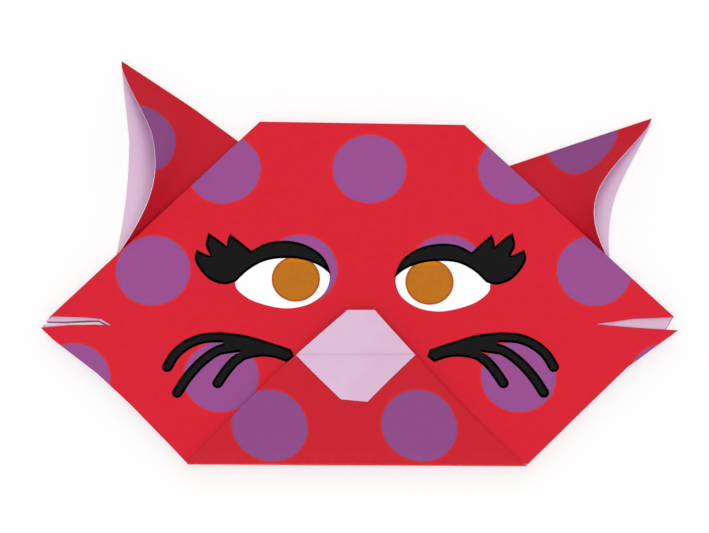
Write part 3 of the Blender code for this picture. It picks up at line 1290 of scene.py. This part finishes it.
    def build(self) -> bpy.types.Object:
        """Build the paper as a closed sheet with a printed and a plain side.

        Returns:
            The piece.
        """
        mesh = self.middle_surface()
        self.refine(mesh)
        self.spring_open(mesh)
        for vert in mesh.verts:
            vert.co = place(*vert.co)
        data = mesh_data("cat_paper", mesh)
        paper = put("cat_paper", data)
        thicken = paper.modifiers.new("thickness", "SOLIDIFY")
        thicken.thickness = self.paper * MM
        thicken.offset = 0.0
        thicken.material_offset = Surface.PLAIN.value
        thicken.material_offset_rim = Surface.EDGE.value
        finishes = {Surface.PRINTED: PrintedPaper(), Surface.PLAIN: PlainPaper(), Surface.EDGE: CutEdge()}
        for surface in Surface:
            data.materials.append(finishes[surface].make())
        bpy.context.view_layer.update()
        graph = bpy.context.evaluated_depsgraph_get()
        thick = bpy.data.meshes.new_from_object(paper.evaluated_get(graph))
        paper.modifiers.clear()
        paper.data = thick
        thick.shade_smooth()
        thick.set_sharp_from_angle(angle=math.radians(self.sharp_from))
        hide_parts("folded_sheet")
        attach(paper, "root")
        return paper


def flow(points: Sequence[Vector], gap: float) -> List[Vector]:
    """Smooth curve through points that may be unevenly spaced.

    Args:
        points: The points.
        gap: Distance between neighbours on the curve.

    Returns:
        The curve without its last point.
    """
    padded = [2.0 * points[0] - points[1], *points, 2.0 * points[-1] - points[-2]]
    curve = []
    for p0, p1, p2, p3 in zip(padded, padded[1:], padded[2:], padded[3:]):
        t1 = (p1 - p0).length ** 0.5
        t2 = t1 + (p2 - p1).length ** 0.5
        t3 = t2 + (p3 - p2).length ** 0.5
        steps = max(2, round((p2 - p1).length / gap))
        for step in range(steps):
            t = t1 + (t2 - t1) * step / steps
            a1 = p0.lerp(p1, t / t1)
            a2 = p1.lerp(p2, (t - t1) / (t2 - t1))
            a3 = p2.lerp(p3, (t - t2) / (t3 - t2))
            b1 = a1.lerp(a2, t / t2)
            b2 = a2.lerp(a3, (t - t1) / (t3 - t1))
            curve.append(b1.lerp(b2, (t - t1) / (t2 - t1)))
    return curve


def chain(strokes: Sequence[Sequence[Point]], gap: float = 0.35) -> List[Point]:
    """Close outline of curved strokes that meet in sharp corners.

    Args:
        strokes: Points of each stroke, which starts where the stroke before it ends.
        gap: Distance between neighbours on the outline.

    Returns:
        The outline's points.
    """
    return [(p.x, p.y) for stroke in strokes for p in flow([Vector(q) for q in stroke], gap)]


def circle(centre: Point, radius: float, count: int = 64) -> List[Point]:
    """Points round a circle."""
    turns = [2.0 * math.pi * i / count for i in range(count)]
    return [(centre[0] + radius * math.cos(t), centre[1] + radius * math.sin(t)) for t in turns]


def prong(line: Sequence[Point], half: float, gap: float = 0.35, steps: int = 10) -> List[Point]:
    """Outline of a round-ended band, from its root round the tip and back.

    Args:
        line: Points of its centre line, from the root to the tip's centre.
        half: Half its width.
        gap: Distance between neighbours on the centre line.
        steps: Straight stretches round its end.

    Returns:
        The outline's points, open at the root.
    """
    middle = flow([Vector(p) for p in line], gap) + [Vector(line[-1])]
    headings = [(q - p).normalized() for p, q in zip(middle, middle[1:])]
    headings.append(headings[-1])
    near = [p + Vector((h.y, -h.x)) * half for p, h in zip(middle, headings)]
    far = [p + Vector((-h.y, h.x)) * half for p, h in zip(middle, headings)]
    tip, heading = middle[-1], headings[-1]
    start = math.atan2(-heading.x, heading.y)
    turns = [start + math.pi * step / steps for step in range(1, steps)]
    cap = [tip + Vector((math.cos(t), math.sin(t))) * half for t in turns]
    return [(p.x, p.y) for p in near + cap + far[::-1]]


def gap_to(point: Vector, start: Vector, end: Vector) -> float:
    """Distance of a point from a straight stretch, or from its end where that is nearer."""
    foot, share = intersect_point_line(point, start, end)
    return (point - (foot.to_2d() if 0.0 <= share <= 1.0 else end)).length


@dataclass
class PrintedMark:
    """One flat field of ink on the face.

    Attributes:
        name: The piece's name.
        outline: Its outline.
        ink: Its ink.
        order: Its place among the marks that lie over one another, 0 the lowest.
        border: Ink of the line round it, or None.
        border_width: Width of that line.
        film: Thickness of one film of ink over the paper.
        sunk: How far the films reach into the paper.
        fill_rise: How far the field stands over its border.
    """

    name: str
    outline: List[Point]
    ink: Finish
    order: int
    border: Optional[Finish] = None
    border_width: float = 0.44
    film: float = 0.012
    sunk: float = 0.02
    fill_rise: float = 0.005

    def inner(self, points: List[Point]) -> List[Point]:
        """Outline of the field inside the border.

        Args:
            points: The mark's close-set outline.

        Returns:
            The outline moved inwards, without the points that come too near another side.
        """
        count = len(points)
        closed = [Vector(p) for p in points]
        area = sum(closed[i - 1].x * closed[i].y - closed[i].x * closed[i - 1].y for i in range(count))
        turn = 1.0 if area > 0.0 else -1.0
        result: List[Point] = []
        for i in range(count):
            along = (closed[(i + 1) % count] - closed[i - 1]).normalized()
            moved = closed[i] + Vector((-along.y, along.x)) * turn * self.border_width
            nearest = min(gap_to(moved, closed[j - 1], closed[j]) for j in range(count))
            if nearest > 0.9 * self.border_width:
                result.append((moved.x, moved.y))
        return result

    @staticmethod
    def slab(name: str, outline: List[Point], ink: Finish, bottom: float, top: float) -> bpy.types.Object:
        """Build one closed film of ink.

        Args:
            name: The piece's name.
            outline: Its outline.
            ink: Its ink.
            bottom: Height of its underside.
            top: Height of its upper side.

        Returns:
            The piece.
        """
        mesh = bmesh.new()
        mesh.faces.new([mesh.verts.new(place(x, y, top)) for x, y in outline])
        skirt = bmesh.ops.extrude_face_region(mesh, geom=mesh.faces[:])
        for item in skirt["geom"]:
            if isinstance(item, bmesh.types.BMVert):
                item.co.z = bottom * MM
        bmesh.ops.recalc_face_normals(mesh, faces=mesh.faces[:])
        bmesh.ops.triangulate(mesh, faces=mesh.faces[:])
        film = put(name, mesh_data(name, mesh))
        film.data.materials.append(ink.make())
        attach(film, "root")
        return film

    def build(self, surface: float) -> List[bpy.types.Object]:
        """Build the mark just proud of the paper.

        Args:
            surface: Height of the paper under it.

        Returns:
            The border, or the whole mark where it has none, and the field inside the border.
        """
        bottom = surface - self.sunk
        top = surface + self.film + self.film * self.order
        if not self.border:
            return [self.slab(self.name, self.outline, self.ink, bottom, top)]
        inner = self.inner(self.outline)
        fill = self.slab(self.name + "_fill", inner, self.ink, bottom, top + self.fill_rise)
        return [self.slab(self.name, self.outline, self.border, bottom, top), fill]


class Drift(Enum):
    """How far a mark on the right follows the right eye, which is printed lower and further out."""

    WHOLE = 1
    FADING = 2
    NONE = 3


@dataclass
class FacePrint:
    """Eyes, lashes and whiskers printed on the face, drawn for the left side.

    Attributes:
        surface: Height of the paper.
        fade_from: Place across the face where a fading drift starts, on the left.
        fade_length: Distance over which it grows to the whole.
        black: Ink of lashes and whiskers.
        outline: Ink of the line round them.
        white: Ink of the eye's white.
        rust: Ink of the line round the iris.
        eye_shift: How far the right eye lies from the left one's mirror image.
        iris_centre: Centre of the iris.
        iris_radius: Its radius.
        iris_rim: Width of the line round it.
        lid_height: Height under which the iris is less bright.
        lashes: Strokes round the lid and its lashes.
        whisker_width: Width of a whisker.
        whisker_root: Upper edge of the root that joins the whiskers.
        whiskers: Centre line of each whisker.
        whisker_forks: Points between one whisker and the next.
        whisker_base: Lower edge of the root.
        eye_white: Strokes round the white.
    """

    surface: float
    fade_from: float = -24.0
    fade_length: float = 12.0
    black: Ink = Ink("lash_ink", srgb(29, 29, 29), gloss=0.0)
    outline: Ink = Ink("outline_ink", srgb(1, 1, 1), gloss=0.0)
    white: Ink = Ink("eye_white_ink", srgb(254, 254, 254), 0.97)
    rust: Ink = Ink("iris_rim_ink", srgb(184, 84, 12), 0.9)
    eye_shift: Point = (0.72, -0.55)
    iris_centre: Point = (-10.7, 7.95)
    iris_radius: float = 4.0
    iris_rim: float = 0.3
    lid_height: float = 10.95
    lashes: Tuple[Tuple[Point, ...], ...] = (
        ((-25.3, 16.1), (-23.6, 14.9), (-22.2, 13.7)),
        ((-22.2, 13.7), (-22.1, 14.8), (-21.7, 15.9)),
        ((-21.7, 15.9), (-19.8, 14.4), (-18.1, 12.9)),
        ((-18.1, 12.9), (-15.8, 14.2), (-12.5, 14.7), (-9.2, 14.0), (-6.5, 12.2), (-5.4, 10.4), (-4.9, 8.7)),
        ((-4.9, 8.7), (-6.7, 10.2), (-9.5, 11.3), (-12.5, 11.6), (-15.8, 11.1), (-18.6, 9.5), (-20.6, 7.5)),
        ((-20.6, 7.5), (-22.3, 7.0), (-24.6, 7.6), (-26.4, 9.3), (-27.5, 11.5), (-27.2, 13.1)),
        ((-27.2, 13.1), (-26.1, 12.5), (-24.9, 12.0)),
        ((-24.9, 12.0), (-25.7, 13.9), (-25.3, 16.1)),
    )
    whisker_width: float = 1.8
    whisker_root: Tuple[Point, ...] = (
        (-10.9, -5.6), (-11.4, -4.35), (-15.0, -3.1), (-19.1, -1.85), (-23.0, -1.35),
    )
    whiskers: Tuple[Tuple[Point, ...], ...] = (
        ((-23.0, -2.25), (-26.1, -2.5), (-28.6, -3.6), (-30.5, -5.3), (-31.7, -7.4)),
        ((-23.3, -4.5), (-24.5, -5.2), (-26.5, -6.95), (-28.4, -9.25), (-30.0, -11.85)),
        ((-20.0, -5.9), (-20.8, -6.55), (-22.1, -8.15), (-23.4, -10.2)),
    )
    whisker_forks: Tuple[Point, ...] = ((-22.5, -3.3), (-19.6, -4.8))
    whisker_base: Tuple[Point, ...] = (
        (-19.0, -6.2), (-17.5, -5.8), (-15.8, -5.65), (-14.0, -5.9), (-12.1, -6.6),
    )
    eye_white: Tuple[Tuple[Point, ...], ...] = (
        ((-20.7, 7.9), (-20.6, 6.5), (-18.8, 4.7), (-15.7, 3.4), (-12.0, 2.8), (-8.4, 3.6), (-5.9, 5.6),
         (-5.1, 7.9), (-5.3, 9.5)),
        ((-5.3, 9.5), (-8.0, 12.0), (-12.5, 13.1), (-17.5, 11.8), (-20.7, 7.9)),
    )

    def whisker_outline(self) -> List[Point]:
        """Outline of the three whiskers and the root that joins them.

        Returns:
            The outline's points.
        """
        outline = chain((self.whisker_root[:2], self.whisker_root[1:]))
        for index, line in enumerate(self.whiskers):
            outline += prong(line, self.whisker_width / 2.0)
            outline += self.whisker_forks[index:index + 1]
        return outline + chain((self.whisker_base, (self.whisker_base[-1], self.whisker_root[0])))

    def on_side(self, outline: List[Point], side: Side, drift: Drift) -> List[Point]:
        """Outline of a mark of the left side on either side.

        Args:
            outline: The mark on the left.
            side: The side it is wanted on.
            drift: How far it follows the right eye.

        Returns:
            The outline on that side.
        """
        if side is Side.LEFT:
            return outline
        placed = []
        for x, y in outline:
            fading = clamp((x - self.fade_from) / self.fade_length)
            share = {Drift.WHOLE: 1.0, Drift.FADING: fading, Drift.NONE: 0.0}[drift]
            placed.append((self.eye_shift[0] * share - x, self.eye_shift[1] * share + y))
        return placed

    def marks(self, side: Side) -> List[PrintedMark]:
        """Marks of one side, from the paper up.

        Args:
            side: The side of the face.

        Returns:
            The marks.
        """
        name = side.value
        white = self.on_side(chain(self.eye_white), side, Drift.WHOLE)
        iris = self.on_side(circle(self.iris_centre, self.iris_radius), side, Drift.WHOLE)
        lashes = self.on_side(chain(self.lashes), side, Drift.FADING)
        whiskers = self.on_side(self.whisker_outline(), side, Drift.NONE)
        lid = self.lid_height + (self.eye_shift[1] if side is Side.RIGHT else 0.0)
        return [
            PrintedMark(name + "_eye_white", white, self.white, 0),
            PrintedMark(name + "_iris", iris, IrisInk(name + "_iris_ink", lid), 1, self.rust, self.iris_rim),
            PrintedMark(name + "_lashes", lashes, self.black, 2, self.outline),
            PrintedMark(name + "_whiskers", whiskers, self.black, 0, self.outline),
        ]

    def build(self) -> List[bpy.types.Object]:
        """Build every mark of both sides."""
        return [piece for side in Side for mark in self.marks(side) for piece in mark.build(self.surface)]


@dataclass
class Studio:
    """Pale floor, soft light and the camera.

    Attributes:
        photo_width: Width of the photograph in pixels.
        scale: Millimetres in one of its pixels.
        elevation: The camera's angle over the table, in degrees.
        distance: Its distance.
        aim: The point of the folded plane that it looks at.
        sensor: Width of its sensor.
        floor_gap: How far the floor lies under the paper, in metres.
        glow: How much lighter the floor shows to the camera.
        sky: Strength of the light from all round.
    """

    photo_width: int = 709
    scale: float = 0.16573
    elevation: float = 69.95
    distance: float = 620.0
    aim: Tuple[float, float, float] = (-0.99, 10.14, 2.95)
    sensor: float = 36.0
    floor_gap: float = 0.0002
    glow: float = 0.55
    sky: float = 0.58

    def floor(self) -> bpy.types.Object:
        """Lay the pale floor.

        Returns:
            The floor.
        """
        mesh = bmesh.new()
        bmesh.ops.create_grid(mesh, x_segments=2, y_segments=2, size=3.0)
        floor = put("floor", mesh_data("floor", mesh))
        floor.location.z = -self.floor_gap
        floor.data.materials.append(self.floor_paint())
        return floor

    def floor_paint(self) -> bpy.types.Material:
        """White floor that shows a little lighter to the camera and keeps the shadow.

        Returns:
            The material.
        """
        tree = ShaderTree("floor_paint")
        white = tree.mix(tree.noise(30.0) * 0.1, srgb(255, 255, 255), srgb(250, 250, 250))
        material = tree.finish(white, 0.9, None, 0.0)
        glow = tree.node("ShaderNodeEmission", {}, {"Color": (1.0, 1.0, 1.0, 1.0), "Strength": 1.0})
        path = tree.node("ShaderNodeLightPath", {}, {})
        seen = Value(tree, path.outputs["Is Camera Ray"]).most(Value(tree, path.outputs["Is Glossy Ray"]))
        share = seen.most(Value(tree, path.outputs["Is Transmission Ray"])) * self.glow
        inputs = {0: share.socket, 1: tree.shader.outputs[0], 2: glow.outputs[0]}
        mixed = tree.node("ShaderNodeMixShader", {}, inputs)
        tree.tree.links.new(mixed.outputs[0], tree.tree.nodes["Material Output"].inputs["Surface"])
        return material

    def world(self) -> None:
        """Give even light from all round."""
        world = bpy.data.worlds.new("studio")
        bpy.context.scene.world = world
        world.use_nodes = True
        back = world.node_tree.nodes["Background"]
        back.inputs["Color"].default_value = (1.0, 1.0, 1.0, 1.0)
        back.inputs["Strength"].default_value = self.sky

    @staticmethod
    def lamp(name: str, where: Tuple[float, float, float], size: float, power: float) -> None:
        """Hang one square soft lamp that faces the cat.

        Args:
            name: The lamp's name.
            where: Its place in metres.
            size: Its side in metres.
            power: Its power in watts.
        """
        data = bpy.data.lights.new(name, "AREA")
        data.shape = "SQUARE"
        data.size = size
        data.energy = power
        lamp = put(name, data)
        lamp.location = where
        lamp.rotation_euler = (-Vector(where)).to_track_quat("-Z", "Y").to_euler()

    def camera(self) -> None:
        """Set the camera at the photograph's view."""
        data = bpy.data.cameras.new("camera")
        data.sensor_fit = "HORIZONTAL"
        data.sensor_width = self.sensor
        data.lens = self.sensor * self.distance / (self.photo_width * self.scale)
        data.clip_start = 0.01
        camera = put("camera", data)
        aim = place(*self.aim)
        tilt = math.radians(self.elevation)
        camera.location = aim + Vector((0.0, -math.cos(tilt), math.sin(tilt))) * self.distance * MM
        camera.rotation_euler = (aim - camera.location).to_track_quat("-Z", "Y").to_euler()
        bpy.context.scene.camera = camera

    def build(self) -> None:
        """Build the studio."""
        self.floor()
        self.world()
        self.lamp("key", (0.0, -0.42, 1.1), 0.7, 6.6)
        self.lamp("fill", (0.1, 0.7, 1.0), 0.9, 0.5)
        self.camera()
        bpy.context.scene.view_settings.view_transform = "Standard"


def main() -> None:
    """Build the dressed cat and its studio."""
    logging.basicConfig(level=logging.INFO, format="%(name)s: %(message)s")
    paper = FoldedSheet()
    piece = paper.build()
    LOG.info("%s: %d faces", piece.name, len(piece.data.polygons))
    for mark in FacePrint(paper.face_top()).build():
        LOG.info("%s: %d faces", mark.name, len(mark.data.polygons))
    Studio().build()
    bpy.context.view_layer.update()


if __name__ == "__main__":
    main()
